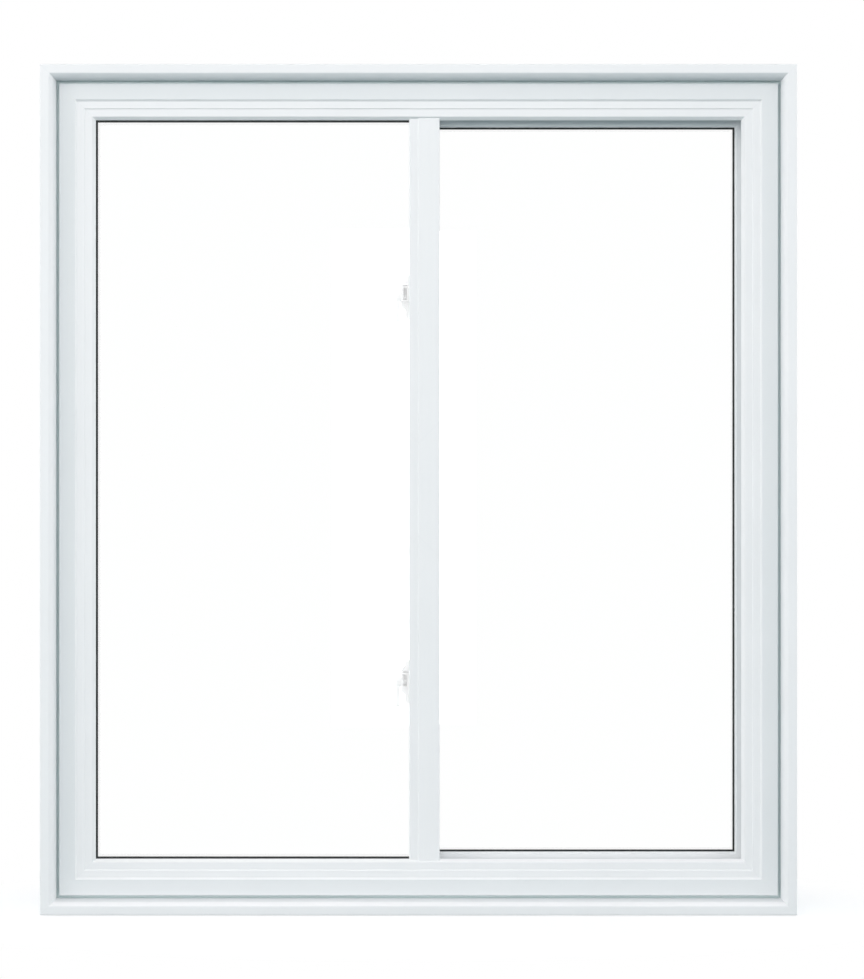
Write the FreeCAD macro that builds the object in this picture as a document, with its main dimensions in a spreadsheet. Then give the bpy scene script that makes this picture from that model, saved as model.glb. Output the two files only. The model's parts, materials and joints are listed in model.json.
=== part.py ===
import FreeCAD, Part
import os
import types
import Sketcher

# A horizontal sliding window of white extruded vinyl, seen from outside: a fixed light on the left,
# glazed straight into the frame, and on the right a sash that slides to the left behind it on two
# rollers. Both lights hold sealed double glass. Two cam locks on the sash catch keepers on the frame.
# Millimetres. The origin is the middle of the sill's underside, +Z is up, +X is to the right as seen
# from outside, and +Y runs from outside to inside.

SIZES = {
    # the frame outside, and its section counted inwards from the outer edge
    "frame_width": 1206.5,
    "frame_height": 1355.7,
    "rim_width": 14.0,
    "rim_brow_run": 6.0,
    "rim_brow_drop": 6.0,
    "rim_slope_run": 9.0,
    "rim_slope_drop": 24.0,
    "kerf_width": 4.5,
    "kerf_depth": 10.0,
    "face_recess": 25.0,
    "face_width": 25.5,
    "first_step": 3.0,
    "second_flat": 11.0,
    "second_step": 1.5,
    "third_flat": 11.5,
    "bevel_run": 5.0,
    "bevel_drop": 6.0,
    "lip_thickness": 2.5,
    "rebate_height": 14.0,
    "channel_depth": 28.0,
    "leg_reach": 25.0,
    "leg_thickness": 3.0,
    # rounded edges of the extrusions
    "rim_round": 2.5,
    "brow_round": 16.0,
    "edge_round": 0.8,
    # the fixed light
    "pane_thickness": 3.0,
    "pane_edge_gap": 2.0,
    "gasket_thickness": 2.0,
    "gasket_show": 3.3,
    "gasket_setback": 2.1,
    "fixed_air_gap": 12.0,
    "spacer_inset": 3.0,
    "spacer_width": 8.0,
    "bead_depth": 9.0,
    "bead_cover": 14.0,
    "bead_flat": 6.0,
    "bead_nose": 2.0,
    # the fixed meeting stile
    "stile_center": 9.4,
    "stile_width": 49.0,
    "stile_nosing": 15.1,
    "stile_flange": 6.0,
    "stile_round": 2.0,
    "stile_step": 1.5,
    "stile_step_inset": 13.8,
    # the sash and its running room
    "track_gap": 5.0,
    "sash_gap": 6.5,
    "sash_overlap": 14.0,
    "sash_face": 39.1,
    "sash_bevel_run": 3.0,
    "sash_bevel_drop": 2.5,
    "sash_lip": 4.0,
    "sash_rebate_height": 12.0,
    "sash_gasket_thickness": 1.5,
    "sash_gasket_show": 3.2,
    "sash_air_gap": 9.0,
    "sash_bead_depth": 5.5,
    "sash_bead_cover": 12.5,
    "sash_bead_flat": 6.5,
    "sash_bead_nose": 1.5,
    # rollers and the track that they run on
    "track_base_width": 20.0,
    "track_base_height": 1.2,
    "track_rib_width": 3.0,
    "track_rib_entry": 1.0,
    "track_end_gap": 2.0,
    "rail_groove_width": 13.4,
    "rail_groove_depth": 6.2,
    "roller_inset": 150.0,
    "roller_radius": 9.0,
    "roller_width": 5.0,
    "roller_seat": 0.3,
    "roller_end_gap": 6.0,
    "roller_side_gap": 2.5,
    "roller_top_gap": 2.7,
    "axle_radius": 2.0,
    "axle_length": 18.0,
    "axle_clearance": 0.05,
    # cam locks and keepers
    "lock_spread": 624.0,
    "lock_projection": 14.0,
    "lock_half_height": 34.0,
    "lock_flange": 6.5,
    "lock_platform_above": 19.5,
    "lock_platform_below": 14.0,
    "lock_slope": 8.0,
    "lock_front_gap": 1.0,
    "lock_stand_out": 4.0,
    "lock_wall": 2.5,
    "lock_outer_wall": 3.5,
    "lock_round": 2.0,
    "pivot_depth": 8.0,
    "shaft_radius": 4.0,
    "shaft_clearance": 0.05,
    "shaft_room": 2.0,
    "cam_reach": 17.5,
    "cam_half_width": 3.5,
    "cam_thickness": 3.0,
    "cam_round": 3.0,
    "cam_room": 1.0,
    "cam_side_room": 1.5,
    "hub_radius": 8.0,
    "hub_clearance": 0.3,
    "hub_height": 8.2,
    "arm_length": 40.0,
    "arm_root_half_width": 6.0,
    "arm_tip_half_width": 4.0,
    "arm_thickness": 6.0,
    "arm_round": 3.0,
    "keeper_base": 4.5,
    "keeper_lip": 3.0,
    "keeper_end": 2.5,
    "keeper_side_room": 2.0,
    "keeper_above": 13.5,
    "keeper_below": 6.0,
    "keeper_glass_gap": 1.0,
    # finger pull on the sash
    "pull_inset": 26.0,
    "pull_length": 280.0,
    "pull_height": 12.0,
    "pull_lip": 11.0,
    "pull_wall": 3.0,
    "pull_round": 1.0,
    # installation screws through the jambs
    "screw_hole_radius": 2.75,
    "screw_outer_span": 1056.0,
    "screw_inner_span": 352.0,
    # how far a cutting shape reaches past what it cuts
    "cut_margin": 5.0,
}

doc = FreeCAD.newDocument("SlidingWindow")
sheet = doc.addObject("Spreadsheet::Sheet", "Sizes")
for row, (alias, number) in enumerate(SIZES.items(), start=1):
    sheet.set("A%d" % row, alias)
    sheet.set("B%d" % row, str(number))
    sheet.setAlias("B%d" % row, alias)
doc.recompute()


class Length:
    """A size with its number and the expression on the sheet that gives it."""

    def __init__(self, number, text):
        self.number = number
        self.text = text

    def joined(self, sign, other, number):
        return Length(number, "(%s %s %s)" % (self.text, sign, other.text))

    def __add__(self, other):
        other = as_length(other)
        return self.joined("+", other, self.number + other.number)

    def __sub__(self, other):
        other = as_length(other)
        return self.joined("-", other, self.number - other.number)

    def __mul__(self, other):
        other = as_length(other)
        return self.joined("*", other, self.number * other.number)

    def __truediv__(self, other):
        other = as_length(other)
        return self.joined("/", other, self.number / other.number)

    def __neg__(self):
        return Length(-self.number, "(-1 * %s)" % self.text)

    def __rsub__(self, other):
        return as_length(other) - self


def as_length(value):
    """Let a plain number stand beside sizes in a sum."""
    if isinstance(value, Length):
        return value
    return Length(float(value), "(%s)" % value)


s = types.SimpleNamespace(**{alias: Length(number, "Sizes." + alias) for alias, number in SIZES.items()})
origin = as_length(0)

# Solids drawn in sketches, each value of which is an expression on the sheet.

PLANES = {"X": "YZ_Plane", "Y": "XZ_Plane", "Z": "XY_Plane"}
bodies = []


def new_body(name):
    """Start a sub-part."""
    body = doc.addObject("PartDesign::Body", name)
    body.Label = name
    bodies.append(body)
    return body


def bind(feature, path, value):
    feature.setExpression(path, as_length(value).text)


def new_sketch(body, axis, place):
    """A sketch square to an axis. Y's plane faces outside, so its distance is counted backwards."""
    sketch = body.newObject("Sketcher::SketchObject", "Sketch")
    plane = next(part for part in body.Origin.OriginFeatures if part.Role == PLANES[axis])
    sketch.AttachmentSupport = [(plane, "")]
    sketch.MapMode = "FlatFace"
    bind(sketch, "AttachmentOffset.Base.z", -place if axis == "Y" else place)
    return sketch


def tie_point(sketch, geometry, end, point):
    """Hold a point of the sketch at its two distances from the sketch's origin."""
    for kind, value in zip(("DistanceX", "DistanceY"), point):
        value = as_length(value)
        index = sketch.addConstraint(Sketcher.Constraint(kind, -1, 1, geometry, end, value.number))
        bind(sketch, "Constraints[%d]" % index, value)


def draw_loop(sketch, points):
    """Draw a closed outline of straight lines through the points."""
    corners = [FreeCAD.Vector(as_length(a).number, as_length(b).number, 0) for a, b in points]
    first = sketch.GeometryCount
    count = len(corners)
    for index in range(count):
        sketch.addGeometry(Part.LineSegment(corners[index], corners[(index + 1) % count]), False)
    for index in range(count):
        following = first + (index + 1) % count
        sketch.addConstraint(Sketcher.Constraint("Coincident", first + index, 2, following, 1))
    for index, point in enumerate(points):
        tie_point(sketch, first + index, 1, point)


def draw_circle(sketch, center, radius):
    middle = FreeCAD.Vector(as_length(center[0]).number, as_length(center[1]).number, 0)
    index = sketch.addGeometry(Part.Circle(middle, FreeCAD.Vector(0, 0, 1), radius.number), False)
    size = sketch.addConstraint(Sketcher.Constraint("Radius", index, radius.number))
    bind(sketch, "Constraints[%d]" % size, radius)
    tie_point(sketch, index, 3, center)


def draw(sketch, shapes):
    """Draw outlines, and circles given as a center and a radius."""
    for shape in shapes:
        if isinstance(shape, tuple):
            draw_circle(sketch, *shape)
        else:
            draw_loop(sketch, shape)


def grow(body, axis, start, end, *shapes):
    """Extrude outlines along an axis from start to end."""
    sketch = new_sketch(body, axis, end if axis == "Y" else start)
    draw(sketch, shapes)
    pad = body.newObject("PartDesign::Pad", "Pad")
    pad.Profile = sketch
    bind(pad, "Length", end - start)
    sketch.Visibility = False
    return pad


def cut(body, axis, start, end, *shapes):
    """Cut outlines out of a body along an axis from start to end."""
    sketch = new_sketch(body, axis, start if axis == "Y" else end)
    draw(sketch, shapes)
    pocket = body.newObject("PartDesign::Pocket", "Pocket")
    pocket.Profile = sketch
    bind(pocket, "Length", end - start)
    sketch.Visibility = False
    return pocket


def round_edges(body, axis, points, radius):
    """Round the straight edges that run along an axis through the points of its plane."""
    doc.recompute()
    kept = [place for place in "XYZ" if place != axis]
    base = body.Tip
    names = []
    for number, edge in enumerate(base.Shape.Edges, start=1):
        if edge.Curve.TypeId != "Part::GeomLine":
            continue
        if abs(abs(getattr(edge.Curve.Direction, axis.lower())) - 1) > 1e-6:
            continue
        middle = edge.CenterOfMass
        spot = [getattr(middle, place.lower()) for place in kept]
        if any(abs(spot[0] - a.number) + abs(spot[1] - b.number) < 1e-3 for a, b in points):
            names.append("Edge%d" % number)
    fillet = body.newObject("PartDesign::Fillet", "Fillet")
    fillet.Base = (base, names)
    bind(fillet, "Radius", radius)


def rectangle(left, right, bottom, top):
    return [(left, bottom), (right, bottom), (right, top), (left, top)]


def shrunk(box, margin):
    """A box, as left, right, bottom and top, brought in by a margin on every side."""
    left, right, bottom, top = box
    return left + margin, right - margin, bottom + margin, top - margin


def mitred_bar(name, side, section, box, width, rounded=()):
    """One bar of a four-sided frame, cut at 45 degrees at both ends. The section is a list of places
    as distance inwards from the side of the box, and y. Rounded lists radii and section places."""
    left, right, bottom, top = box
    body = new_body(name)
    lies = side in ("top", "bottom")
    across = {
        "bottom": lambda inwards, y: (y, bottom + inwards),
        "top": lambda inwards, y: (y, top - inwards),
        "left": lambda inwards, y: (left + inwards, y),
        "right": lambda inwards, y: (right - inwards, y),
    }[side]
    axis, start, end = ("X", left, right) if lies else ("Z", bottom, top)
    grow(body, axis, start, end, [across(*place) for place in section])
    for radius, places in rounded:
        round_edges(body, axis, [across(*place) for place in places], radius)
    corners = {
        "bottom": ((left, bottom, 1, 1), (right, bottom, -1, 1)),
        "top": ((left, top, 1, -1), (right, top, -1, -1)),
        "left": ((left, bottom, 1, 1), (left, top, 1, -1)),
        "right": ((right, bottom, -1, 1), (right, top, -1, -1)),
    }[side]
    reach = width + s.cut_margin
    wedges = []
    for x, z, along, up in corners:
        outer = (x - s.cut_margin * along, z - s.cut_margin * up)
        inner = (x + reach * along, z + reach * up)
        square = (outer[0], inner[1]) if lies else (inner[0], outer[1])
        wedges.append([outer, inner, square])
    cut(body, "Y", -frame_depth, frame_depth, *wedges)
    return body


def block(name, box, front, back):
    """A rectangular plate between two depths."""
    body = new_body(name)
    grow(body, "Y", front, back, rectangle(*box))
    return body


def ring(name, outer, inner, front, back):
    """A rectangular ring between two depths."""
    body = new_body(name)
    grow(body, "Y", front, back, rectangle(*outer), rectangle(*inner))
    return body


# Depths from the outside of the rim, which stack up to the depth of the frame.

sash_depth = (
    s.sash_lip + s.sash_gasket_thickness + s.pane_thickness * 2 + s.sash_air_gap + s.sash_bead_depth
)
second_depth = s.face_recess + s.first_step
third_depth = second_depth + s.second_step
lip_edge_depth = third_depth + s.bevel_drop
lip_back_depth = lip_edge_depth + s.lip_thickness
fixed_glass_depth = s.gasket_thickness + s.pane_thickness * 2 + s.fixed_air_gap + s.bead_depth
track_depth = s.track_gap + sash_depth + s.track_gap
frame_depth = lip_back_depth + fixed_glass_depth + track_depth + s.leg_thickness

rim_y = -frame_depth / 2
brow_y = rim_y + s.rim_brow_drop
slope_y = rim_y + s.rim_slope_drop
face_y = rim_y + s.face_recess
kerf_y = face_y + s.kerf_depth
second_y = rim_y + second_depth
third_y = rim_y + third_depth
lip_edge_y = rim_y + lip_edge_depth
lip_back_y = rim_y + lip_back_depth
outer_pane_y = lip_back_y + s.gasket_thickness
fixed_air_y = outer_pane_y + s.pane_thickness
inner_pane_y = fixed_air_y + s.fixed_air_gap
bead_y = inner_pane_y + s.pane_thickness
bead_back_y = bead_y + s.bead_depth
sash_y = bead_back_y + s.track_gap
sash_back_y = sash_y + sash_depth
leg_y = sash_back_y + s.track_gap
inside_y = leg_y + s.leg_thickness
track_y = sash_y + sash_depth / 2

# Distances inwards from the outer edge of the frame.

brow_end = s.rim_width + s.rim_brow_run
slope_end = s.rim_width + s.rim_slope_run
kerf_end = slope_end + s.kerf_width
face_end = kerf_end + s.face_width
second_start = face_end + s.first_step
second_end = second_start + s.second_flat
third_start = second_end + s.second_step
third_end = third_start + s.third_flat
lip_end = third_end + s.bevel_run
rebate = lip_end - s.rebate_height
channel = rebate - s.channel_depth
leg_end = channel + s.leg_reach
sash_inset = channel + s.sash_gap

frame_box = (-s.frame_width / 2, s.frame_width / 2, origin, s.frame_height)
middle_z = s.frame_height / 2

# The frame: one extruded section, mitred and welded at the corners. From outside it has a proud rim,
# a side that curves down steeply to a narrow kerf, stepped flats and a bevelled lip that the fixed
# glass seats behind. Inside is the channel that the sash runs in.

frame_section = [
    (origin, rim_y),
    (s.rim_width, rim_y),
    (brow_end, brow_y),
    (slope_end, slope_y),
    (slope_end, kerf_y),
    (kerf_end, kerf_y),
    (kerf_end, face_y),
    (face_end, face_y),
    (second_start, second_y),
    (second_end, second_y),
    (third_start, third_y),
    (third_end, third_y),
    (lip_end, lip_edge_y),
    (lip_end, lip_back_y),
    (rebate, lip_back_y),
    (rebate, bead_back_y),
    (channel, bead_back_y),
    (channel, leg_y),
    (leg_end, leg_y),
    (leg_end, inside_y),
    (origin, inside_y),
]
frame_rounds = (
    (s.brow_round, [(brow_end, brow_y)]),
    (s.rim_round, [(s.rim_width, rim_y)]),
    (
        s.edge_round,
        [
            (origin, rim_y),
            (kerf_end, face_y),
            (face_end, face_y),
            (second_end, second_y),
            (third_end, third_y),
            (lip_end, lip_edge_y),
            (leg_end, leg_y),
            (leg_end, inside_y),
            (origin, inside_y),
        ],
    ),
)
frame_bars = {}
for name, side in (
    ("frame_head", "top"),
    ("frame_sill", "bottom"),
    ("frame_left_jamb", "left"),
    ("frame_right_jamb", "right"),
):
    frame_bars[side] = mitred_bar(name, side, frame_section, frame_box, lip_end, frame_rounds)

screw_heights = []
for span in (s.screw_outer_span, s.screw_inner_span):
    screw_heights += [middle_z - span / 2, middle_z + span / 2]
screw_holes = [((track_y, height), s.screw_hole_radius) for height in screw_heights]
cut(frame_bars["left"], "X", frame_box[0], frame_box[0] + channel, *screw_holes)
cut(frame_bars["right"], "X", frame_box[1] - channel, frame_box[1], *screw_holes)

# The fixed meeting stile: a flange that laps over the glass on a web that parts the two lights.
# The flange is stepped back beside the glass, and its ends are coped over the frame's bevelled lip.

stile_left = s.stile_center - s.stile_width / 2
stile_right = s.stile_center + s.stile_width / 2
web_left = stile_left + s.stile_nosing
stile_y = lip_back_y - s.stile_flange
step_left = stile_left + s.stile_step_inset
step_right = step_left + s.stile_step
step_y = stile_y + s.stile_step
stile_bottom = rebate
stile_top = s.frame_height - rebate

stile = new_body("fixed_meeting_stile")
grow(
    stile,
    "Z",
    stile_bottom,
    stile_top,
    [
        (stile_left, step_y),
        (step_left, step_y),
        (step_right, stile_y),
        (stile_right, stile_y),
        (stile_right, bead_back_y),
        (web_left, bead_back_y),
        (web_left, lip_back_y),
        (stile_left, lip_back_y),
    ],
)
round_edges(stile, "Z", [(stile_left, step_y), (stile_right, stile_y)], s.stile_round)
cope = [
    (third_y, rebate),
    (lip_back_y, rebate),
    (lip_back_y, lip_end),
    (lip_edge_y, lip_end),
    (third_y, third_end),
]
top_cope = [(y, s.frame_height - height) for y, height in cope]
cut(stile, "X", stile_left - s.cut_margin, stile_right + s.cut_margin, cope, top_cope)

# The fixed light: sealed double glass on a gasket against the frame's lip, held by four beads.
# The bead at the stile is square, to carry the keepers.

fixed_box = (frame_box[0] + rebate, web_left, rebate, s.frame_height - rebate)
fixed_glass = shrunk(fixed_box, s.pane_edge_gap)
gasket_reach = s.rebate_height + s.gasket_show
gasket_inner = shrunk(fixed_box, gasket_reach)
gasket_hole = (gasket_inner[0], stile_left + s.gasket_setback, gasket_inner[2], gasket_inner[3])
fixed_spacer = shrunk(fixed_glass, s.spacer_inset)

ring("fixed_glazing_gasket", fixed_glass, gasket_hole, lip_back_y, outer_pane_y)
block("fixed_outer_pane", fixed_glass, outer_pane_y, fixed_air_y)
ring("fixed_glass_spacer", fixed_spacer, shrunk(fixed_spacer, s.spacer_width), fixed_air_y, inner_pane_y)
block("fixed_inner_pane", fixed_glass, inner_pane_y, bead_y)

bead_section = [
    (origin, bead_y),
    (s.bead_cover, bead_y),
    (s.bead_cover, bead_y + s.bead_nose),
    (s.bead_flat, bead_back_y),
    (origin, bead_back_y),
]
square_section = [
    (origin, bead_y),
    (s.bead_cover, bead_y),
    (s.bead_cover, bead_back_y),
    (origin, bead_back_y),
]
for name, side, section in (
    ("fixed_bead_top", "top", bead_section),
    ("fixed_bead_bottom", "bottom", bead_section),
    ("fixed_bead_left", "left", bead_section),
    ("fixed_bead_stile", "right", square_section),
):
    mitred_bar(name, side, section, fixed_box, s.bead_cover)

# The sash: four mitred bars with a bevelled outer lip. The bottom rail is grooved over the track
# and slotted for its rollers, and the stiles' corners carry the groove on.

sash_box = (
    -s.sash_overlap,
    frame_box[1] - sash_inset,
    sash_inset,
    s.frame_height - sash_inset,
)
sash_left, sash_right, sash_bottom, sash_top = sash_box
sash_lip_end = s.sash_face + s.sash_bevel_run
sash_rebate = sash_lip_end - s.sash_rebate_height
sash_lip_y = sash_y + s.sash_lip
groove_front_y = track_y - s.rail_groove_width / 2
groove_back_y = track_y + s.rail_groove_width / 2

sash_section = [
    (origin, sash_y),
    (s.sash_face, sash_y),
    (sash_lip_end, sash_y + s.sash_bevel_drop),
    (sash_lip_end, sash_lip_y),
    (sash_rebate, sash_lip_y),
    (sash_rebate, sash_back_y),
    (origin, sash_back_y),
]
rail_section = sash_section + [
    (origin, groove_back_y),
    (s.rail_groove_depth, groove_back_y),
    (s.rail_groove_depth, groove_front_y),
    (origin, groove_front_y),
]
sash_rounds = (
    (
        s.edge_round,
        [(origin, sash_y), (s.sash_face, sash_y), (sash_rebate, sash_back_y), (origin, sash_back_y)],
    ),
)
sash_bars = {}
for name, side, section in (
    ("sash_top_rail", "top", sash_section),
    ("sash_bottom_rail", "bottom", rail_section),
    ("sash_meeting_stile", "left", sash_section),
    ("sash_pull_stile", "right", sash_section),
):
    sash_bars[side] = mitred_bar(name, side, section, sash_box, sash_lip_end, sash_rounds)

groove_mouth = rectangle(groove_front_y, groove_back_y, sash_bottom, sash_bottom + s.rail_groove_depth)
cut(sash_bars["left"], "X", sash_left, sash_left + sash_lip_end, groove_mouth)
cut(sash_bars["right"], "X", sash_right - sash_lip_end, sash_right, groove_mouth)

roller_z = sash_bottom + s.track_rib_entry + s.roller_seat + s.roller_radius
roller_places = {"left_roller": sash_left + s.roller_inset, "right_roller": sash_right - s.roller_inset}
slot_half_length = s.roller_radius + s.roller_end_gap
slot_half_width = s.roller_width / 2 + s.roller_side_gap
slot_top = roller_z + s.roller_radius + s.roller_top_gap
axle_bore = s.axle_radius + s.axle_clearance
axle_half = s.axle_length / 2
bore_half = axle_half + s.axle_clearance
for place in roller_places.values():
    slot = rectangle(
        place - slot_half_length,
        place + slot_half_length,
        track_y - slot_half_width,
        track_y + slot_half_width,
    )
    cut(sash_bars["bottom"], "Z", sash_bottom, slot_top, slot)
    cut(sash_bars["bottom"], "Y", track_y - bore_half, track_y + bore_half, ((place, roller_z), axle_bore))

# The rollers, each a wheel with a stub of axle on both sides, and the T-shaped track under them.

for name, place in roller_places.items():
    roller = new_body(name)
    half_width = s.roller_width / 2
    grow(roller, "Y", -axle_half, axle_half, ((origin, origin), s.axle_radius))
    grow(roller, "Y", -half_width, half_width, ((origin, origin), s.roller_radius))
    bind(roller, "Placement.Base.x", place)
    bind(roller, "Placement.Base.y", track_y)
    bind(roller, "Placement.Base.z", roller_z)

base_half = s.track_base_width / 2
rib_half = s.track_rib_width / 2
base_top = channel + s.track_base_height
rib_top = sash_bottom + s.track_rib_entry
track = new_body("roller_track")
grow(
    track,
    "X",
    frame_box[0] + channel + s.track_end_gap,
    frame_box[1] - channel - s.track_end_gap,
    [
        (track_y - base_half, channel),
        (track_y + base_half, channel),
        (track_y + base_half, base_top),
        (track_y + rib_half, base_top),
        (track_y + rib_half, rib_top),
        (track_y - rib_half, rib_top),
        (track_y - rib_half, base_top),
        (track_y - base_half, base_top),
    ],
)

# The sash's sealed double glass, its gasket and its four beads.

sash_light = shrunk(sash_box, sash_rebate)
sash_glass = shrunk(sash_light, s.pane_edge_gap)
sash_spacer = shrunk(sash_glass, s.spacer_inset)
sash_pane_y = sash_lip_y + s.sash_gasket_thickness
sash_air_y = sash_pane_y + s.pane_thickness
sash_inner_y = sash_air_y + s.sash_air_gap
sash_bead_y = sash_inner_y + s.pane_thickness
sash_gasket_hole = shrunk(sash_light, s.sash_rebate_height + s.sash_gasket_show)

ring("sash_glazing_gasket", sash_glass, sash_gasket_hole, sash_lip_y, sash_pane_y)
block("sash_outer_pane", sash_glass, sash_pane_y, sash_air_y)
ring("sash_glass_spacer", sash_spacer, shrunk(sash_spacer, s.spacer_width), sash_air_y, sash_inner_y)
block("sash_inner_pane", sash_glass, sash_inner_y, sash_bead_y)

sash_bead_section = [
    (origin, sash_bead_y),
    (s.sash_bead_cover, sash_bead_y),
    (s.sash_bead_cover, sash_bead_y + s.sash_bead_nose),
    (s.sash_bead_flat, sash_back_y),
    (origin, sash_back_y),
]
for side in ("top", "bottom", "left", "right"):
    mitred_bar("sash_bead_" + side, side, sash_bead_section, sash_light, s.sash_bead_cover)

# The cam locks, on the edge of the sash's meeting stile that faces the fixed light. Each housing is
# an open-fronted casting with thin ends. Its lever hangs down when unlocked, and half a turn swings
# the cam out of the housing and into the looped keeper on the stile's bead, which stops the slide.
# They are drawn about the lever's axis and the stile's edge, and then put in their places.

lock_heights = {"upper": middle_z + s.lock_spread / 2, "lower": middle_z - s.lock_spread / 2}
pivot_y = sash_y + s.pivot_depth
housing_front = s.lock_front_gap - s.pivot_depth
housing_back = sash_depth + s.lock_stand_out - s.pivot_depth
wall_inside = s.lock_outer_wall - s.lock_projection
cam_left = wall_inside + s.cam_side_room
cam_right = cam_left + s.cam_thickness
hub_right = -s.lock_projection - s.hub_clearance
hub_left = hub_right - s.hub_height
keeper_right = web_left - s.bead_cover - sash_left
keeper_lip_right = cam_left - s.keeper_side_room
slope_above = s.lock_platform_above + s.lock_slope
slope_below = s.lock_platform_below + s.lock_slope
axis_point = (origin, origin)


def put_on_lock(body, level):
    """Place a piece that is drawn about a lock's axis."""
    bind(body, "Placement.Base.x", sash_left)
    bind(body, "Placement.Base.y", pivot_y)
    bind(body, "Placement.Base.z", lock_heights[level])


for level in lock_heights:
    housing = new_body(level + "_lock_housing")
    outline = [
        (origin, -s.lock_half_height),
        (-s.lock_flange, -s.lock_half_height),
        (-s.lock_flange, -slope_below),
        (-s.lock_projection, -s.lock_platform_below),
        (-s.lock_projection, s.lock_platform_above),
        (-s.lock_flange, slope_above),
        (-s.lock_flange, s.lock_half_height),
        (origin, s.lock_half_height),
    ]
    grow(housing, "Y", housing_front, housing_back, outline)
    round_edges(housing, "Y", [outline[1], outline[3], outline[4], outline[6]], s.lock_round)
    hollow_bottom = -s.shaft_radius - s.shaft_room
    hollow = rectangle(wall_inside, -s.lock_wall, hollow_bottom, s.cam_reach + s.cam_room)
    cut(housing, "Y", housing_front, housing_back - s.lock_wall, hollow)
    shaft_bore = s.shaft_radius + s.shaft_clearance
    cut(housing, "X", -s.lock_projection, wall_inside, (axis_point, shaft_bore))
    put_on_lock(housing, level)

    lever = new_body(level + "_lock_lever")
    grow(lever, "X", hub_left, cam_right, (axis_point, s.shaft_radius))
    grow(lever, "X", hub_left, hub_right, (axis_point, s.hub_radius))
    arm = [
        (-s.arm_root_half_width, origin),
        (-s.arm_tip_half_width, -s.arm_length),
        (s.arm_tip_half_width, -s.arm_length),
        (s.arm_root_half_width, origin),
    ]
    grow(lever, "X", hub_left, hub_left + s.arm_thickness, arm)
    round_edges(lever, "X", [arm[1], arm[2]], s.arm_round)
    cam = rectangle(origin, s.cam_reach, -s.cam_half_width, s.cam_half_width)
    grow(lever, "X", cam_left, cam_right, cam)
    round_edges(lever, "X", [cam[1], cam[2]], s.cam_round)
    put_on_lock(lever, level)

    keeper = new_body(level + "_keeper")
    loop = rectangle(
        keeper_lip_right - s.keeper_lip,
        keeper_right,
        -s.keeper_below - s.keeper_end,
        s.keeper_above + s.keeper_end,
    )
    mouth = rectangle(keeper_lip_right, keeper_right - s.keeper_base, -s.keeper_below, s.keeper_above)
    grow(keeper, "Y", bead_y + s.keeper_glass_gap - pivot_y, bead_back_y - pivot_y, loop, mouth)
    put_on_lock(keeper, level)

# The finger pull: an L-shaped strip down the middle of the inside of the sash's pull stile.

pull_right = sash_right - s.pull_inset
pull_back_y = sash_back_y + s.pull_height
pull_outline = [
    (pull_right, sash_back_y),
    (pull_right, pull_back_y),
    (pull_right - s.pull_lip, pull_back_y),
    (pull_right - s.pull_lip, pull_back_y - s.pull_wall),
    (pull_right - s.pull_wall, pull_back_y - s.pull_wall),
    (pull_right - s.pull_wall, sash_back_y),
]
pull = new_body("sash_pull")
grow(pull, "Z", middle_z - s.pull_length / 2, middle_z + s.pull_length / 2, pull_outline)
round_edges(pull, "Z", pull_outline[1:4], s.pull_round)

# Check every feature, then write each sub-part.

doc.recompute()
for feature in doc.Objects:
    if "Invalid" in feature.State or "Error" in feature.State:
        raise RuntimeError("%s did not come out: %s" % (feature.Name, feature.State))
    if feature.TypeId == "PartDesign::Pocket":
        if feature.Shape.Volume > feature.BaseFeature.Shape.Volume - 1e-3:
            raise RuntimeError("%s cuts nothing" % feature.Name)
for body in bodies:
    if body.Shape.isNull() or not body.Shape.isValid() or len(body.Shape.Solids) != 1:
        raise RuntimeError("%s is not one sound solid" % body.Label)

os.makedirs("parts", exist_ok=True)
for body in bodies:
    body.Shape.exportStep("parts/%s.step" % body.Label)
print("%d sub-parts written" % len(bodies))
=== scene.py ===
import json
import math
import random

import bmesh
import bpy
from mathutils import Matrix, Vector


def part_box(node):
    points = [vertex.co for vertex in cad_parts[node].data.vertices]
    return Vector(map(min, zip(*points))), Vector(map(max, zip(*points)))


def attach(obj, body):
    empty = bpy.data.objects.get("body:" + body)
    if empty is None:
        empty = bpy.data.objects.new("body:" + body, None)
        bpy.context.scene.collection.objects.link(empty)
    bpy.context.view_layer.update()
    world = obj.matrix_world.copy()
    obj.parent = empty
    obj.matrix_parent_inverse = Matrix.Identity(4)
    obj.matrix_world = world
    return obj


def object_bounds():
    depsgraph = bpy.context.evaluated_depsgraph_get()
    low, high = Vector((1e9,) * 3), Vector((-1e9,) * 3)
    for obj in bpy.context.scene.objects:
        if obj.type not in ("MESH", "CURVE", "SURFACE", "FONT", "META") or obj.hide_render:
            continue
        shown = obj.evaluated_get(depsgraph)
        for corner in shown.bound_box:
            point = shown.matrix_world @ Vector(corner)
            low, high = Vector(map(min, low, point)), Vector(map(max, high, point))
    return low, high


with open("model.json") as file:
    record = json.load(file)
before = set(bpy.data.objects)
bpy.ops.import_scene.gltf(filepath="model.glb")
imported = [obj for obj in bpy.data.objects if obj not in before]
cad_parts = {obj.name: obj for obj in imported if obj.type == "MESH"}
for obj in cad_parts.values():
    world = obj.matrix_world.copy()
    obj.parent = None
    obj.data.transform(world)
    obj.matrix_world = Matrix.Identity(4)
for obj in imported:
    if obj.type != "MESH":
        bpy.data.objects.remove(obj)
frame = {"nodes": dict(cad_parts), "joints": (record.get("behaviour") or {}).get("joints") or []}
cad_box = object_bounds()

# The outer frame is four lengths of one white vinyl extrusion, welded at mitred corners, where a
# hairline shows. The die leaves faint lines along each bar and the cooling bath a fine orange peel.
# Painted shade darkens what faces up and the recessed faces behind the rim, and tints the kerf teal.


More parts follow.
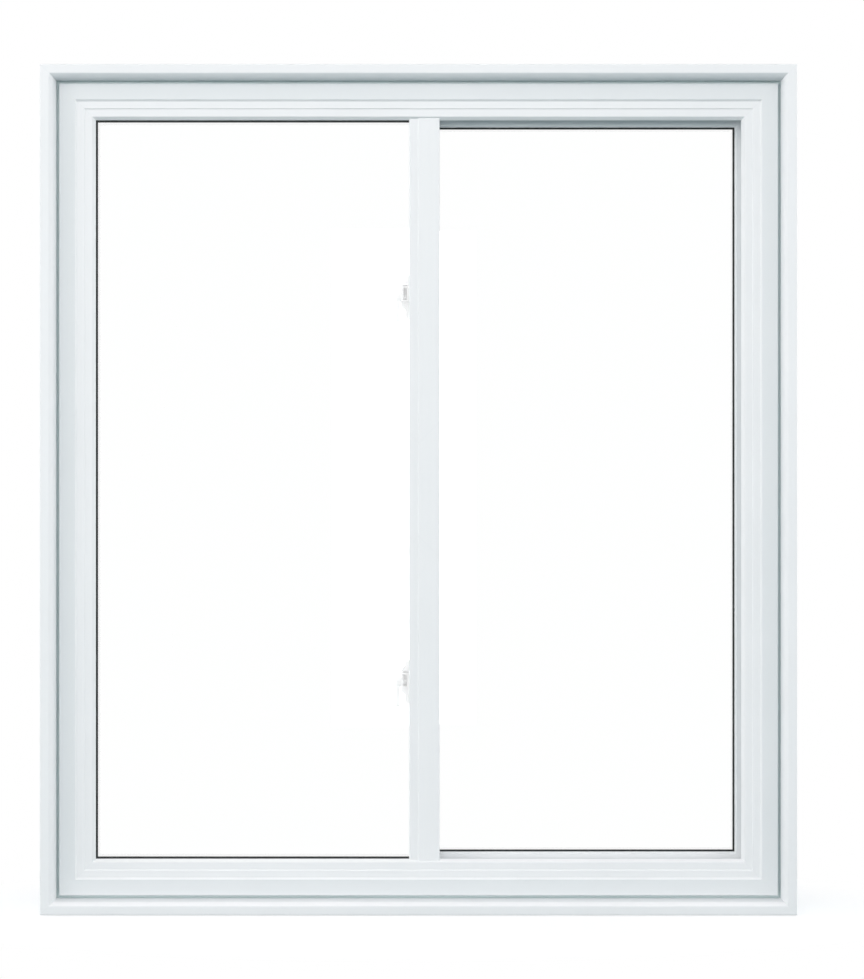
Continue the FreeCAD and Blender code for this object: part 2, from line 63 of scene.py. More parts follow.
class Wire:
    """A socket in a material, so that sums on it are written as expressions."""

    def __init__(self, tree, socket=None):
        self.tree = tree
        self.socket = socket

    def node(self, kind, settings=(), inputs=(), output=0):
        """Add a node of a kind: first its settings, then the values or wires of its inputs."""
        made = self.tree.nodes.new("ShaderNode" + kind)
        for name, value in dict(settings).items():
            setattr(made, name, value)
        for name, value in dict(inputs).items():
            if isinstance(value, Wire):
                self.tree.links.new(value.socket, made.inputs[name])
            else:
                made.inputs[name].default_value = value
        return Wire(self.tree, made.outputs[output] if made.outputs else None)

    def other(self, output):
        """Another output of the same node."""
        return Wire(self.tree, self.socket.node.outputs[output])

    def maths(self, operation, *values):
        return self.node("Math", {"operation": operation}, enumerate(values))

    def __add__(self, other):
        return self.maths("ADD", self, other)

    def __radd__(self, other):
        return self.maths("ADD", other, self)

    def __sub__(self, other):
        return self.maths("SUBTRACT", self, other)

    def __rsub__(self, other):
        return self.maths("SUBTRACT", other, self)

    def __mul__(self, other):
        return self.maths("MULTIPLY", self, other)

    def __rmul__(self, other):
        return self.maths("MULTIPLY", other, self)

    def __abs__(self):
        return self.maths("ABSOLUTE", self)

    def fade(self, low, high):
        """Rise smoothly from 0 to 1 between two values."""
        limits = {"Value": self, "From Min": low, "From Max": high}
        return self.node("MapRange", {"interpolation_type": "SMOOTHSTEP"}, limits)


def new_finish(name):
    """An empty material, and a wire to start its nodes from."""
    material = bpy.data.materials.new(name)
    material.use_nodes = True
    material.node_tree.nodes.clear()
    return material, Wire(material.node_tree)


def blend_colours(share, first, second):
    return share.node("Mix", {"data_type": "RGBA"}, {0: share, 6: first, 7: second}, 2)


def grain(place, scale, detail=2.0, squeeze=(1.0, 1.0, 1.0)):
    """Noise on a place whose axes are squeezed, which draws the noise out along them."""
    squeezed = place.node("VectorMath", {"operation": "MULTIPLY"}, {0: place, 1: squeeze})
    return place.node("TexNoise", (), {"Vector": squeezed, "Scale": scale, "Detail": detail})


def relief(height, depth):
    """A surface normal from a height between 0 and 1 and its depth in metres."""
    return height.node("Bump", (), {"Height": height, "Distance": depth, "Strength": 1.0})


VINYL_WHITE = (0.824, 0.834, 0.846, 1.0)
VINYL_SHADE = (0.802, 0.814, 0.826, 1.0)
WELD_GREY = (0.690, 0.715, 0.730, 1.0)
# Painted shade colours: grey for what faces up and for shaded zones, teal for the kerf.
PAINTED_SHADE_GREY = (0.742, 0.766, 0.780, 1.0)
KERF_SHADE_TEAL = (0.685, 0.768, 0.775, 1.0)
DIE_LINE_SQUEEZE = {"X": (0.02, 1.0, 1.0), "Z": (1.0, 1.0, 0.02)}
WELD_EDGE = (0.0001, 0.0004)
PAINTED_SHADE_TILT = (0.85, 0.98)
SOFT_END = 0.0005
VINYL_RELIEF = 0.00002


def band(value, low, high):
    """1 between two values and 0 outside them, with soft ends."""
    risen = value.fade(low - SOFT_END, low + SOFT_END)
    return risen - value.fade(high - SOFT_END, high + SOFT_END)


def vinyl(name, lengthwise, corners, shaded_zone=None, kerf_shade_zone=None):
    """White vinyl with die lines along an axis, welds on the mitres of a rectangle, and painted shade
    on what faces up. A grey or teal painted shade zone is two distances from the edge, and two depths."""
    low, high = corners
    middle = (low + high) / 2
    half = (high - low) / 2
    material, wire = new_finish(name)
    place = wire.node("TexCoord", (), (), "Object")
    die_lines = grain(place, scale=700.0, detail=3.0, squeeze=DIE_LINE_SQUEEZE[lengthwise])
    cloud = grain(place, scale=5.0)
    peel = grain(place, scale=1100.0)
    across = place.node("SeparateXYZ", (), {"Vector": place}, "X")
    from_side = half.x - abs(across - middle.x)
    from_end = half.z - abs(across.other("Z") - middle.z)
    weld = 1 - abs(from_side - from_end).fade(*WELD_EDGE)
    shade = blend_colours((cloud + die_lines * 0.5).fade(0.45, 1.05), VINYL_WHITE, VINYL_SHADE)
    upward = place.node("SeparateXYZ", (), {"Vector": place.other("Normal")}, "Z")
    # Painted shade: faces that point up are drawn darker.
    painted_shade = upward.fade(*PAINTED_SHADE_TILT)
    inset = across.maths("MINIMUM", from_side, from_end)
    depth = across.other("Y")
    uneven = 0.7 + cloud * 0.6
    # Painted shade in the given zone: the recessed faces behind the frame's rim, or the sash's outside
    # face.
    if shaded_zone:
        painted_shade = painted_shade.maths("MAXIMUM", painted_shade, band(inset, *shaded_zone[0]) * band(depth, *shaded_zone[1]))
    shade = blend_colours(painted_shade * uneven, shade, PAINTED_SHADE_GREY)
    # Painted shade, tinted teal, in the kerf zone behind the rim.
    if kerf_shade_zone:
        kerf_shade = band(inset, *kerf_shade_zone[0]) * band(depth, *kerf_shade_zone[1])
        shade = blend_colours(kerf_shade * uneven, shade, KERF_SHADE_TEAL)
    height = die_lines * 0.5 + peel * 0.3 - weld
    skin = wire.node(
        "BsdfPrincipled",
        (),
        {
            "Base Color": blend_colours(weld * 0.5, shade, WELD_GREY),
            "Roughness": 0.38 + cloud * 0.10 + die_lines * 0.06 + weld * 0.2,
            "Specular IOR Level": 0.3,
            "Normal": relief(height, VINYL_RELIEF),
        },
    )
    wire.node("OutputMaterial", (), {"Surface": skin})
    return material


def dress(material, *names):
    """Give CAD nodes a finish."""
    for name in names:
        for held in frame["nodes"][name].material_slots:
            held.material = material


# The recess behind the frame's rim and the kerf in it get painted shade, grey and teal.
RECESS_INSET = (0.0235, 0.0530)
RECESS_BEHIND = (0.0200, 0.0360)
KERF_INSET = (0.0222, 0.0282)
KERF_BEHIND = (0.0265, 0.0360)

frame_corners = (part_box("frame_left_jamb")[0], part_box("frame_right_jamb")[1])
rim_front = cad_box[0].y
recess = (RECESS_INSET, [rim_front + behind for behind in RECESS_BEHIND])
kerf = (KERF_INSET, [rim_front + behind for behind in KERF_BEHIND])
frame_bar_vinyl = vinyl("frame_bar_vinyl", "X", frame_corners, recess, kerf)
frame_jamb_vinyl = vinyl("frame_jamb_vinyl", "Z", frame_corners, recess, kerf)
dress(frame_bar_vinyl, "frame_head", "frame_sill")
dress(frame_jamb_vinyl, "frame_left_jamb", "frame_right_jamb", "fixed_meeting_stile")

# The glazing gaskets are black rubber, extruded as a strip and laid round each light between the
# glass and the vinyl lip. A narrow edge of it shows as a black line around the glass.

RUBBER_BLACK = (0.012, 0.014, 0.015, 1.0)
RUBBER_BLOOM = (0.030, 0.034, 0.036, 1.0)

gasket_rubber, wire = new_finish("gasket_rubber")
place = wire.node("TexCoord", (), (), "Object")
bloom = grain(place, scale=60.0, detail=4.0)
skin_lines = grain(place, scale=2500.0, squeeze=(0.1, 1.0, 0.1))
rubber = wire.node(
    "BsdfPrincipled",
    (),
    {
        "Base Color": blend_colours(bloom.fade(0.40, 0.75), RUBBER_BLACK, RUBBER_BLOOM),
        "Roughness": 0.55 + bloom * 0.2,
        "Normal": relief(skin_lines, depth=0.00003),
    },
)
wire.node("OutputMaterial", (), {"Surface": rubber})
dress(gasket_rubber, "fixed_glazing_gasket", "sash_glazing_gasket")

# The panes are 3 mm float glass, two to each sealed unit. Their faces mirror a little of the room and
# are very slightly wavy from the furnace rollers, and their cut edges are green.

GLASS_TINT = (0.9988, 1.0, 0.9994, 1.0)
EDGE_GREEN = (0.20, 0.42, 0.36, 1.0)
MIRROR_WHITE = (1.0, 1.0, 1.0, 1.0)
GLASS_INDEX = 1.52

pane_glass, wire = new_finish("pane_glass")
place = wire.node("TexCoord", (), (), "Object")
facing = place.other("Normal")
towards_face = abs(place.node("SeparateXYZ", (), {"Vector": facing}, "Y"))
waves = relief(grain(place, scale=9.0, squeeze=(1.0, 1.0, 0.3)), depth=0.00002)
clear = wire.node("BsdfTransparent", (), {"Color": GLASS_TINT})
mirror = wire.node("BsdfGlossy", (), {"Color": MIRROR_WHITE, "Roughness": 0.0, "Normal": waves})
met_first = 1 - wire.node("NewGeometry", (), (), "Backfacing")
both_faces = wire.node("Fresnel", (), {"IOR": GLASS_INDEX}) * met_first * 2
face = wire.node("MixShader", (), {0: both_faces, 1: clear, 2: mirror})
scratches = grain(place, scale=400.0, detail=4.0, squeeze=(1.0, 8.0, 1.0))
edge = wire.node(
    "BsdfPrincipled",
    (),
    {
        "Base Color": EDGE_GREEN,
        "Roughness": 0.25 + scratches * 0.3,
        "Normal": relief(scratches, depth=0.00008),
    },
)
pane = wire.node("MixShader", (), {0: towards_face.fade(0.4, 0.6), 1: edge, 2: face})
wire.node("OutputMaterial", (), {"Surface": pane})
dress(pane_glass, "fixed_outer_pane", "fixed_inner_pane", "sash_outer_pane", "sash_inner_pane")

# The spacers are thin aluminium tubes bent into a frame between the two panes. Small holes along the
# tube let the drying beads inside take up moisture from the sealed air.

SPACER_GREY = (0.56, 0.575, 0.585, 1.0)
SPACER_DULL = (0.44, 0.455, 0.465, 1.0)
HOLE_GREY = (0.05, 0.052, 0.055, 1.0)
HOLE_PITCH = 0.006
HOLE_RADIUS = 0.0006


def spacer_metal(node):
    """Aluminium with a row of holes down the middle of a spacer's width."""
    low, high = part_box(node)
    material, wire = new_finish(node + "_metal")
    place = wire.node("TexCoord", (), (), "Object")
    axes = place.node("SeparateXYZ", (), {"Vector": place}, "X")
    travel = axes + axes.other("Z")
    off_hole = travel.maths("PINGPONG", travel, HOLE_PITCH / 2)
    off_middle = axes.other("Y") - (low.y + high.y) / 2
    squares = off_hole * off_hole + off_middle * off_middle
    away = squares.maths("SQRT", squares)
    hole = 1 - away.fade(HOLE_RADIUS * 0.8, HOLE_RADIUS)
    drawn = grain(place, scale=1500.0, detail=3.0, squeeze=(0.05, 1.0, 0.05))
    metal = blend_colours(drawn.fade(0.3, 0.7), SPACER_DULL, SPACER_GREY)
    tube = wire.node(
        "BsdfPrincipled",
        (),
        {
            "Base Color": blend_colours(hole, metal, HOLE_GREY),
            "Metallic": 0.9 - hole * 0.9,
            "Roughness": 0.38 + drawn * 0.15,
            "Normal": relief(drawn * 0.3 - hole, depth=0.0002),
        },
    )
    wire.node("OutputMaterial", (), {"Surface": tube})
    return material


for node in ("fixed_glass_spacer", "sash_glass_spacer"):
    dress(spacer_metal(node), node)

# The beads are small vinyl extrusions that snap into the frame from inside and hold the sealed glass
# against its gasket. They are mitred at the corners and not welded, so each corner shows a joint.

fixed_light_corners = (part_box("fixed_bead_left")[0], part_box("fixed_bead_stile")[1])
fixed_bead_vinyl = vinyl("fixed_bead_vinyl", "X", fixed_light_corners)
fixed_side_bead_vinyl = vinyl("fixed_side_bead_vinyl", "Z", fixed_light_corners)
dress(fixed_bead_vinyl, "fixed_bead_top", "fixed_bead_bottom")
dress(fixed_side_bead_vinyl, "fixed_bead_left", "fixed_bead_stile")

# The roller track is a T-shaped aluminium extrusion that lies in the channel of the sill. Its rib is
# polished by the wheels that run on it.

TRACK_BRIGHT = (0.80, 0.81, 0.82, 1.0)
TRACK_DULL = (0.58, 0.59, 0.60, 1.0)
RIB_WORN_HEIGHT = 0.0015

rib_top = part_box("roller_track")[1].z
track_metal, wire = new_finish("track_metal")
place = wire.node("TexCoord", (), (), "Object")
height = place.node("SeparateXYZ", (), {"Vector": place}, "Z")
worn = height.fade(rib_top - RIB_WORN_HEIGHT, rib_top)
drawn = grain(place, scale=1800.0, detail=4.0, squeeze=(0.01, 1.0, 1.0))
stains = grain(place, scale=40.0, detail=4.0, squeeze=(0.3, 1.0, 1.0))
aluminium = wire.node(
    "BsdfPrincipled",
    (),
    {
        "Base Color": blend_colours((drawn * 0.6 + worn * 0.5).fade(0.2, 0.7), TRACK_DULL, TRACK_BRIGHT),
        "Metallic": 1.0,
        "Roughness": 0.42 + stains * 0.14 - worn * 0.22,
        "Normal": relief(drawn, depth=0.00004),
    },
)
wire.node("OutputMaterial", (), {"Surface": aluminium})
dress(track_metal, "roller_track")

# The sash is four vinyl bars like the frame's, mitred and welded, with its own snap-in beads. Its
# outside face is drawn darker with painted shade, for the shade of the frame's lip on it. The finger
# pull is a strip of the same vinyl on the inside of its right-hand stile.

# The sash's outside face gets painted shade, for the frame lip's shade on it.
SASH_FACE_INSET = (-0.001, 0.200)
SASH_FACE_BEHIND = (-0.001, 0.006)

sash_corners = (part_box("sash_meeting_stile")[0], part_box("sash_pull_stile")[1])
sash_light_corners = (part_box("sash_bead_left")[0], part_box("sash_bead_right")[1])
sash_outside = (SASH_FACE_INSET, [sash_corners[0].y + behind for behind in SASH_FACE_BEHIND])
sash_rail_vinyl = vinyl("sash_rail_vinyl", "X", sash_corners, sash_outside)
sash_stile_vinyl = vinyl("sash_stile_vinyl", "Z", sash_corners, sash_outside)
sash_bead_vinyl = vinyl("sash_bead_vinyl", "X", sash_light_corners)
sash_side_bead_vinyl = vinyl("sash_side_bead_vinyl", "Z", sash_light_corners)
dress(sash_rail_vinyl, "sash_top_rail", "sash_bottom_rail")
dress(sash_stile_vinyl, "sash_meeting_stile", "sash_pull_stile", "sash_pull")
dress(sash_bead_vinyl, "sash_bead_top", "sash_bead_bottom")
dress(sash_side_bead_vinyl, "sash_bead_left", "sash_bead_right")

# The rollers are turned nylon wheels with a stub axle, set in slots of the sash's bottom rail. They
# carry the sash on the track.

NYLON_PALE = (0.70, 0.69, 0.64, 1.0)
NYLON_WORN = (0.42, 0.41, 0.38, 1.0)
RING_PITCH = 0.0006


def nylon(node):
    """Nylon with turning rings about a roller's axle, and a worn tread."""
    low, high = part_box(node)
    middle = (low + high) / 2
    radius = (high.x - low.x) / 2
    material, wire = new_finish(node + "_nylon")
    place = wire.node("TexCoord", (), (), "Object")
    flat = place.node("VectorMath", {"operation": "SUBTRACT"}, {0: place, 1: middle})
    flat = place.node("VectorMath", {"operation": "MULTIPLY"}, {0: flat, 1: (1.0, 0.0, 1.0)})
    distance = place.node("VectorMath", {"operation": "LENGTH"}, {0: flat}, "Value")
    rings = distance.maths("PINGPONG", distance, RING_PITCH / 2) * (2 / RING_PITCH)
    tread = distance.fade(radius * 0.96, radius * 0.99)
    dirt = grain(place, scale=500.0, detail=4.0)
    wheel = wire.node(
        "BsdfPrincipled",
        (),
        {
            "Base Color": blend_colours((tread * 0.5 + dirt * 0.5).fade(0.25, 0.9), NYLON_PALE, NYLON_WORN),
            "Roughness": 0.40 + dirt * 0.2,
            "Normal": relief(rings * 0.5 + dirt * 0.5, depth=0.00003),
        },
    )
    wire.node("OutputMaterial", (), {"Surface": wheel})
    return material


for node in ("left_roller", "right_roller"):
    dress(nylon(node), node)

# The pile strips are brushes of grey polypropylene on a woven backing. They stand in the gaps between
# the sash and the channel, and between the two meeting stiles, and stop draughts and rattle.

PILE_GREY = (0.36, 0.37, 0.38, 1.0)
PILE_DARK = (0.16, 0.165, 0.17, 1.0)

pile_fibre, wire = new_finish("pile_fibre")
place = wire.node("TexCoord", (), (), "Object")
fibres = grain(place, scale=1600.0, detail=3.0, squeeze=(1.0, 0.25, 1.0))
tufts = grain(place, scale=350.0)
brush = wire.node(
    "BsdfPrincipled",
    (),
    {
        "Base Color": blend_colours((fibres * 0.6 + tufts * 0.5).fade(0.35, 0.75), PILE_DARK, PILE_GREY),
        "Roughness": 0.85 + fibres * 0.1,
        "Sheen Weight": 0.3,
        "Normal": relief(fibres, depth=0.0003),
    },
)
wire.node("OutputMaterial", (), {"Surface": brush})

PILE_WIDTH = 0.0068
PILE_BACKING = 0.0009
PILE_REACH = 0.0045
PILE_INSET = 0.0055
STILE_PILE_X = 0.014
TUFT_PITCH = 0.0026
RUN_TUFTS = 20
TUFT_ROWS = (-0.0012, 0.0012)
TUFT_RADIUS = 0.0017
TUFT_SIDES = 5
TUFT_LEAN = 0.12


def turned_to(start, along, outwards):
    """A matrix that lays X along a direction and Z outwards, from a start."""
    aside = outwards.cross(along)
    turn = Matrix((along, aside, outwards)).transposed().to_4x4()
    return Matrix.Translation(start) @ turn


def tuft_run():
    """A short run of leaning tufts in two rows, standing on Z = 0 from X = 0."""
    draws = random.Random("pile tufts")
    tall = PILE_REACH - PILE_BACKING
    bm = bmesh.new()
    for row in TUFT_ROWS:
        for step in range(RUN_TUFTS):
            lean = Matrix.Rotation(draws.uniform(-TUFT_LEAN, TUFT_LEAN), 4, "Y")
            spot = Matrix.Translation(((step + 0.5) * TUFT_PITCH, row, 0.0))
            depth = tall * draws.uniform(0.88, 0.98)
            bmesh.ops.create_cone(
                bm,
                cap_ends=True,
                segments=TUFT_SIDES,
                radius1=TUFT_RADIUS,
                radius2=TUFT_RADIUS * 0.45,
                depth=depth,
                matrix=spot @ lean @ Matrix.Translation((0.0, 0.0, depth / 2)),
            )
    run = bpy.data.meshes.new("tuft_run")
    bm.to_mesh(run)
    bm.free()
    return run


def add_copy(bm, mesh, place):
    """Add a copy of a mesh to a piece, moved to its place."""
    copy = mesh.copy()
    copy.transform(place)
    bm.from_mesh(copy)
    bpy.data.meshes.remove(copy)


def lay_pile(bm, start, end, outwards):
    """One strip: a bevelled backing with runs of tufts on it from end to end."""
    along = (end - start).normalized()
    length = (end - start).length
    seat = turned_to(start, along, outwards)
    size = Matrix.Diagonal((length, PILE_WIDTH, PILE_BACKING, 1.0))
    centre = Matrix.Translation((length / 2, 0.0, PILE_BACKING / 2))
    backing = bmesh.ops.create_cube(bm, size=1.0, matrix=seat @ centre @ size)
    edges = {edge for vert in backing["verts"] for edge in vert.link_edges}
    bmesh.ops.bevel(
        bm,
        geom=list(edges),
        offset=PILE_BACKING * 0.3,
        offset_type="OFFSET",
        affect="EDGES",
        segments=1,
        profile=0.5,
        material=-1,
    )
    run_length = RUN_TUFTS * TUFT_PITCH
    count = round(length / run_length)
    fit = Matrix.Diagonal((length / count / run_length, 1.0, 1.0, 1.0))
    for index in range(count):
        step = Matrix.Translation((index * length / count, 0.0, PILE_BACKING))
        add_copy(bm, pile_tufts, seat @ step @ fit)


def new_piece(name, bm, material, body):
    """Put a finished mesh in the scene, on the body that carries it."""
    mesh = bpy.data.meshes.new(name)
    bm.to_mesh(mesh)
    bm.free()
    mesh.materials.append(material)
    piece = bpy.data.objects.new(name, mesh)
    bpy.context.scene.collection.objects.link(piece)
    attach(piece, body)


pile_tufts = tuft_run()
sash_low, sash_high = sash_corners
strip_line = PILE_INSET + PILE_WIDTH / 2
left, right = sash_low.x + PILE_INSET, sash_high.x - strip_line
bottom, top = sash_low.z + strip_line, sash_high.z - strip_line
OUTSIDE = Vector((0.0, -1.0, 0.0))
INSIDE = Vector((0.0, 1.0, 0.0))
for name, face, outwards in (
    ("sash_outer_pile", sash_low.y, OUTSIDE),
    ("sash_inner_pile", sash_high.y, INSIDE),
):
    bm = bmesh.new()
    for height in (bottom, top):
        lay_pile(bm, Vector((left, face, height)), Vector((right, face, height)), outwards)
    low_end = Vector((right, face, bottom + PILE_WIDTH))
    high_end = Vector((right, face, top - PILE_WIDTH))
    lay_pile(bm, low_end, high_end, outwards)
    new_piece(name, bm, pile_fibre, "sash")

web_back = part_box("fixed_meeting_stile")[1].y
bm = bmesh.new()
low_end = Vector((STILE_PILE_X, web_back, bottom + PILE_WIDTH * 2))
high_end = Vector((STILE_PILE_X, web_back, top - PILE_WIDTH * 2))
lay_pile(bm, low_end, high_end, INSIDE)
new_piece("meeting_stile_pile", bm, pile_fibre, "frame")

# The locks are zinc castings in white enamel: a housing screwed to the edge of the sash's meeting
# stile, a lever that turns in it, and a looped keeper on the stile of the fixed light.

ENAMEL_WHITE = (0.690, 0.702, 0.708, 1.0)
ENAMEL_THIN = (0.650, 0.664, 0.670, 1.0)

lock_enamel, wire = new_finish("lock_enamel")
place = wire.node("TexCoord", (), (), "Object")
sags = grain(place, scale=180.0, squeeze=(1.0, 1.0, 0.5))
speckle = grain(place, scale=1800.0)
enamel = wire.node(
    "BsdfPrincipled",
    (),
    {
        "Base Color": blend_colours(sags.fade(0.40, 0.75), ENAMEL_WHITE, ENAMEL_THIN),
        "Roughness": 0.26 + speckle * 0.12,
        "Coat Weight": 0.2,
        "Normal": relief(sags * 0.6 + speckle * 0.4, depth=0.00004),
    },
)
wire.node("OutputMaterial", (), {"Surface": enamel})
dress(lock_enamel, "upper_lock_housing", "lower_lock_housing", "upper_keeper", "lower_keeper")
dress(lock_enamel, "upper_lock_lever", "lower_lock_lever")

# Two small screws hold each lock housing to the stile through its thin ends. They are zinc-plated
# steel with a rounded head and a cross recess.

ZINC_BRIGHT = (0.72, 0.73, 0.74, 1.0)
ZINC_DULL = (0.50, 0.51, 0.52, 1.0)
HEAD_RADIUS = 0.0022
HEAD_HEIGHT = 0.0013
HEAD_OUTLINE = ((0.0, 1.0), (0.5, 0.96), (0.8, 0.78), (1.0, 0.35), (1.0, 0.0), (0.0, 0.0))
HEAD_STEPS = 20
RECESS_HALF = 0.00035
RECESS_REACH = 0.0012
RECESS_DEPTH = 0.0007
HOUSING_END = 0.0065
UPPER_SCREW = 0.02975
LOWER_SCREW = -0.027

screw_zinc, wire = new_finish("screw_zinc")
place = wire.node("TexCoord", (), (), "Object")
plating = grain(place, scale=1400.0, detail=3.0)
zinc = wire.node(
    "BsdfPrincipled",
    (),
    {
        "Base Color": blend_colours(plating.fade(0.35, 0.7), ZINC_BRIGHT, ZINC_DULL),
        "Metallic": 1.0,
        "Roughness": 0.28 + plating * 0.2,
        "Normal": relief(plating, depth=0.00003),
    },
)
wire.node("OutputMaterial", (), {"Surface": zinc})


def screw_head():
    """A rounded head spun from its outline, with a cross recess pressed into it."""
    bm = bmesh.new()
    outline = [
        bm.verts.new((HEAD_RADIUS * across, 0.0, HEAD_HEIGHT * up)) for across, up in HEAD_OUTLINE
    ]
    edges = [bm.edges.new(pair) for pair in zip(outline, outline[1:])]
    bmesh.ops.spin(
        bm,
        geom=outline + edges,
        cent=(0, 0, 0),
        axis=(0, 0, 1),
        angle=math.tau,
        steps=HEAD_STEPS,
        use_merge=True,
    )
    bmesh.ops.remove_doubles(bm, verts=bm.verts, dist=1e-6)
    bmesh.ops.recalc_face_normals(bm, faces=bm.faces)
    for across in (Vector((1, 0, 0)), Vector((0, 1, 0))):
        for distance in (RECESS_HALF, -RECESS_HALF, RECESS_REACH, -RECESS_REACH):
            everything = bm.verts[:] + bm.edges[:] + bm.faces[:]
            bmesh.ops.bisect_plane(bm, geom=everything, plane_co=across * distance, plane_no=across)
    recess = []
    for face in bm.faces:
        middle = face.calc_center_median()
        arms = sorted((abs(middle.x), abs(middle.y)))
        if face.normal.z > 0.3 and arms[0] < RECESS_HALF and arms[1] < RECESS_REACH:
            recess.append(face)
    sunk = bmesh.ops.extrude_face_region(bm, geom=recess)["geom"]
    sunk_verts = [part for part in sunk if isinstance(part, bmesh.types.BMVert)]
    bmesh.ops.delete(bm, geom=recess, context="FACES")
    bmesh.ops.translate(bm, verts=sunk_verts, vec=(0, 0, -RECESS_DEPTH))
    head = bpy.data.meshes.new("screw_head")
    bm.to_mesh(head)
    bm.free()
    return head


small_screw = screw_head()
for joint in frame["joints"]:
    if joint["type"] != "hinge":
        continue
    level = joint["name"].split("_")[0]
    low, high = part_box(level + "_lock_housing")
    pivot = Vector(joint["pos_m"])
    bm = bmesh.new()
    for rise in (UPPER_SCREW, LOWER_SCREW):
        spot = Vector((high.x - HOUSING_END, (low.y + high.y) / 2, pivot.z + rise))
        add_copy(bm, small_screw, turned_to(spot, Vector((0, 0, 1)), Vector((-1, 0, 0))))
    new_piece(level + "_lock_screws", bm, screw_zinc, "sash")

# The camera stands square to the window at half its height. Its picture is shifted a little, because
# the window stands left of the middle.

IMAGE_WIDTH = 864
IMAGE_HEIGHT = 979
WINDOW_LEFT_PIXEL = 39.8
WINDOW_RIGHT_PIXEL = 797.3
CAMERA_DISTANCE = 4.5

low, high = cad_box
window_pixels = WINDOW_RIGHT_PIXEL - WINDOW_LEFT_PIXEL
focal_pixels = CAMERA_DISTANCE * window_pixels / (high.x - low.x)
camera = bpy.data.objects.new("camera", bpy.data.cameras.new("camera"))
bpy.context.scene.collection.objects.link(camera)
camera.data.lens = focal_pixels * camera.data.sensor_width / IMAGE_HEIGHT
camera.data.shift_x = (IMAGE_WIDTH - WINDOW_LEFT_PIXEL - WINDOW_RIGHT_PIXEL) / 2 / IMAGE_HEIGHT
camera.location = ((low.x + high.x) / 2, low.y - CAMERA_DISTANCE, (low.z + high.z) / 2)
camera.rotation_euler = (math.radians(90), 0, 0)
bpy.context.scene.camera = camera
bpy.context.scene.view_settings.view_transform = "Standard"

# A plain white floor under the sill and a white room around it. Seen straight, mirrored or through
# the glass they are white, but for the window's soft shadow on the floor. The light that they throw
# on the window is bright from the walls, and dim from the ceiling and the floor.

FLOOR_SIDE = 60.0
FLOOR_DROP = 0.0005
FLOOR_SHOWN = (0.80, 0.80, 0.80, 1.0)
FLOOR_UNSEEN = (0.13, 0.22, 0.24, 1.0)
SHOWN_WHITE = (1.0, 1.0, 1.0, 1.0)
FLOOR_GLOW = 0.28
SHADOW_REACH = (0.33, 0.50)
SHADOW_SPREAD = (0.55, 1.0, 0.0)
WALL_LIGHT = (1.0, 1.0, 1.0, 1.0)
CEILING_LIGHT = (0.165, 0.180, 0.190, 1.0)
CEILING_RISE = 0.6
ROOM_STRENGTH = 2.8


def shown_share(wire):
    """1 where a ray goes straight to the camera, or reaches it by a mirror or through glass."""
    path = wire.node("LightPath", (), (), "Is Camera Ray")
    seen = path + path.other("Is Glossy Ray") + path.other("Is Transmission Ray")
    return path.maths("MINIMUM", seen, 1.0)


floor_white, wire = new_finish("floor_white")
place = wire.node("TexCoord", (), (), "Object")
spread = place.node("VectorMath", {"operation": "MULTIPLY"}, {0: place, 1: SHADOW_SPREAD})
away = place.node("VectorMath", {"operation": "LENGTH"}, {0: spread}, "Value")
paint = wire.node("BsdfDiffuse", (), {"Color": FLOOR_SHOWN})
glow = wire.node("Emission", (), {"Color": SHOWN_WHITE, "Strength": FLOOR_GLOW})
near = wire.node("AddShader", (), {0: paint, 1: glow})
far = wire.node("Emission", (), {"Color": SHOWN_WHITE, "Strength": 1.0})
seen_floor = wire.node("MixShader", (), {0: away.fade(*SHADOW_REACH), 1: near, 2: far})
unseen_floor = wire.node("BsdfDiffuse", (), {"Color": FLOOR_UNSEEN})
both = wire.node("MixShader", (), {0: shown_share(wire), 1: unseen_floor, 2: seen_floor})
wire.node("OutputMaterial", (), {"Surface": both})
bm = bmesh.new()
bmesh.ops.create_grid(bm, x_segments=1, y_segments=1, size=FLOOR_SIDE / 2)
bmesh.ops.translate(bm, verts=bm.verts, vec=(0, 0, low.z - FLOOR_DROP))
mesh = bpy.data.meshes.new("floor")
bm.to_mesh(mesh)
bm.free()
mesh.materials.append(floor_white)
floor = bpy.data.objects.new("floor", mesh)
bpy.context.scene.collection.objects.link(floor)

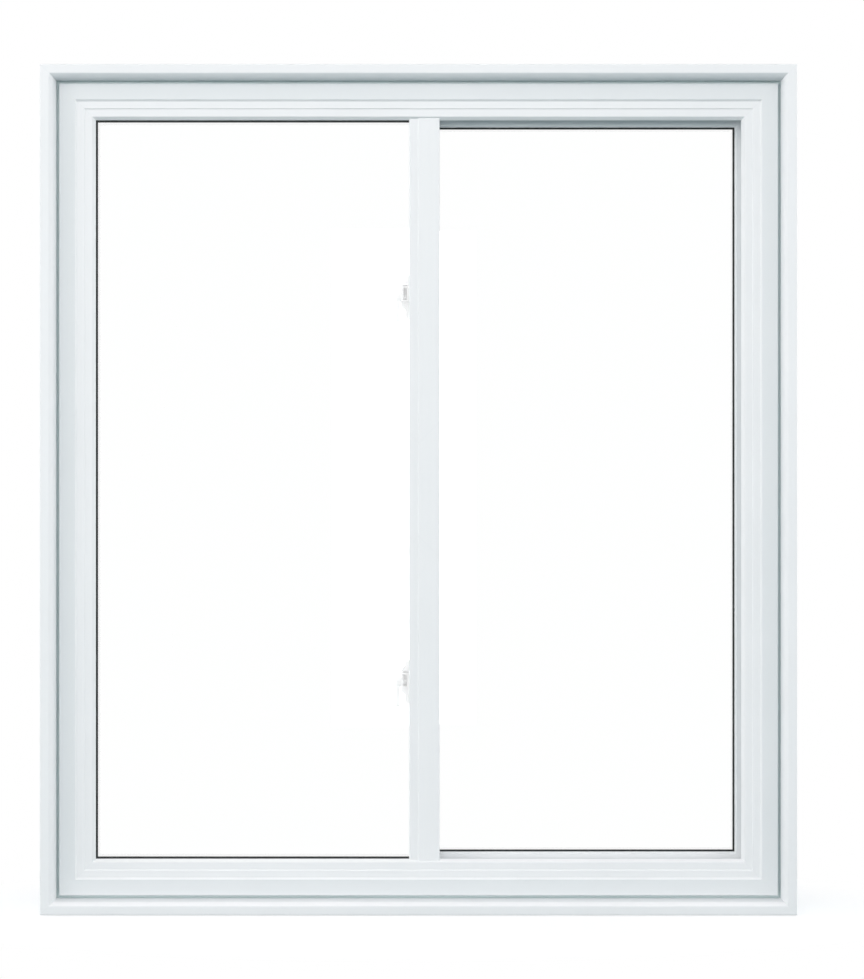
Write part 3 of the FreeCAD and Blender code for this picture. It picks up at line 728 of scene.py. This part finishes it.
room = bpy.data.worlds.new("room")
room.use_nodes = True
room.node_tree.nodes.clear()
bpy.context.scene.world = room
wire = Wire(room.node_tree)
towards = wire.node("TexCoord", (), (), "Generated")
rise = towards.node("SeparateXYZ", (), {"Vector": towards}, "Z")
walls = wire.node("Background", (), {"Color": WALL_LIGHT, "Strength": ROOM_STRENGTH})
ceiling = wire.node("Background", (), {"Color": CEILING_LIGHT, "Strength": ROOM_STRENGTH})
lit = wire.node("MixShader", (), {0: rise.fade(0.0, CEILING_RISE), 1: walls, 2: ceiling})
white = wire.node("Background", (), {"Color": SHOWN_WHITE, "Strength": 1.0})
both = wire.node("MixShader", (), {0: shown_share(wire), 1: lit, 2: white})
wire.node("OutputWorld", (), {"Surface": both})

# Soft studio lamps: one high in front, one at the left and one high at the right, a strip at each
# side that grazes the bars, and a tall panel by the camera that the panes mirror.

aim = Vector(((low.x + high.x) / 2, low.y, (low.z + high.z) / 2))
for name, place, width, height, power, colour in (
    ("key", (-0.4, -3.2, 3.6), 2.6, 1.6, 18.0, (1.0, 0.84, 0.78)),
    ("panel", (-0.04, -3.3, 0.71), 0.4, 1.38, 4.5, (1.0, 1.0, 1.0)),
    ("left", (-3.6, -2.4, 1.4), 1.6, 2.6, 30.0, (1.0, 0.90, 0.86)),
    ("right", (4.5, -4.0, 3.2), 2.0, 2.0, 20.0, (1.0, 0.84, 0.76)),
    ("side_left", (-4.2, -0.3, 1.0), 1.2, 3.0, 26.0, (1.0, 0.98, 0.98)),
    ("side_right", (4.2, -0.3, 1.0), 1.2, 3.0, 37.0, (1.0, 0.98, 0.98)),
):
    light = bpy.data.lights.new(name + "_lamp", "AREA")
    light.shape = "RECTANGLE"
    light.size = width
    light.size_y = height
    light.energy = power
    light.color = colour
    lamp = bpy.data.objects.new(name + "_lamp", light)
    lamp.location = place
    lamp.rotation_euler = (aim - lamp.location).to_track_quat("-Z", "Y").to_euler()
    lamp.visible_camera = False
    bpy.context.scene.collection.objects.link(lamp)
